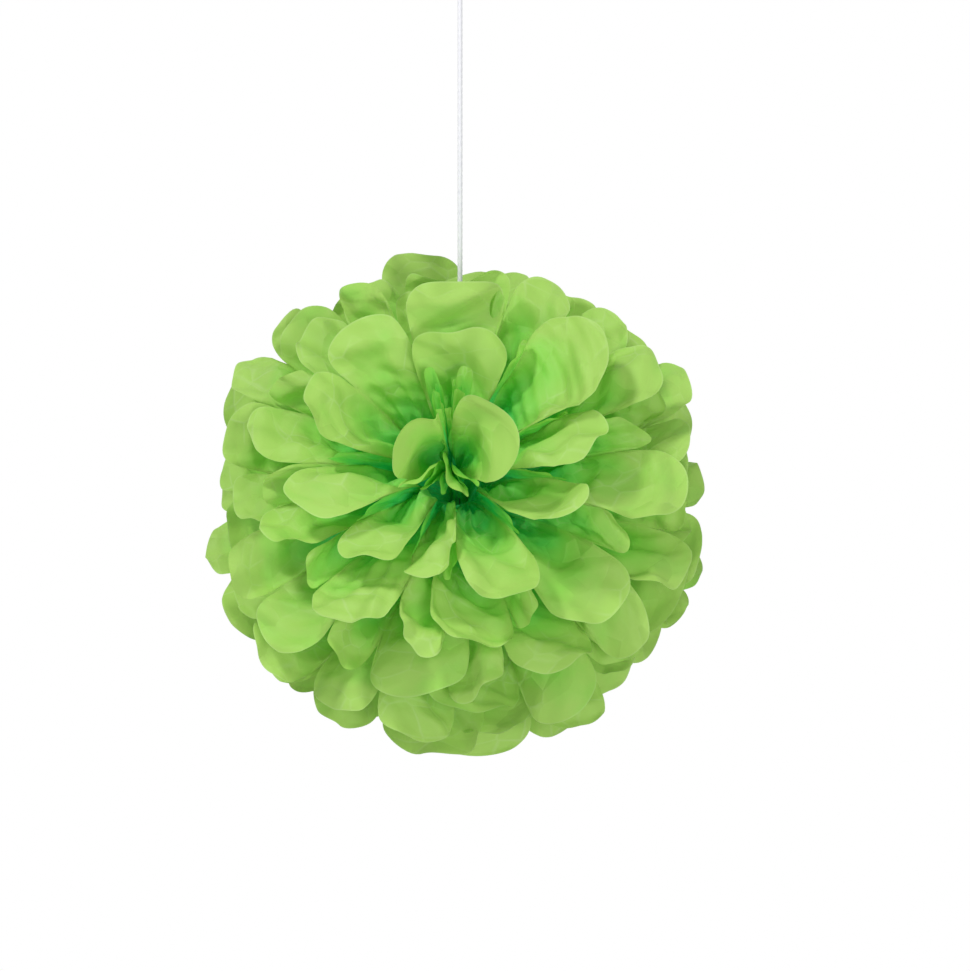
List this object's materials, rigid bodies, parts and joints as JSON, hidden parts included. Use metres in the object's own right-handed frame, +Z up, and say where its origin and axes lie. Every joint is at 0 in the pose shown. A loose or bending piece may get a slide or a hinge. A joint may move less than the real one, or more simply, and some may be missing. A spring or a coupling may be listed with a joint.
{
  "type": "tissue paper pom pom",
  "caption": "Ball-shaped hanging decoration of pleated tissue paper with round-ended petals, tied at the middle with wire, on a white cord that ends in a knotted loop.",
  "frame": {"origin": "where a hook bears inside the top of the hanging loop; the tie at the ball's middle is 0.446 m straight below", "axes": "+Z up along the cord, -Y to the front, +X to the right"},
  "size_m": [0.3979, 0.3941, 0.6511],
  "materials": {
    "green_tissue": "matt, thin, lets light through",
    "zinc_wire": "dull zinc",
    "white_cord": "smooth braided"
  },
  "bodies": {
    "root": {"tissue_sheet_01": "green_tissue", "tissue_sheet_02": "green_tissue", "tissue_sheet_03": "green_tissue", "tissue_sheet_04": "green_tissue", "tissue_sheet_05": "green_tissue", "tissue_sheet_06": "green_tissue", "tissue_sheet_07": "green_tissue", "tissue_sheet_08": "green_tissue", "tissue_sheet_09": "green_tissue", "tissue_sheet_10": "green_tissue", "binding_wire": "zinc_wire", "cord_knot": "white_cord", "hanging_cord": "white_cord", "hanging_loop": "white_cord"}
  },
  "joints": []
}
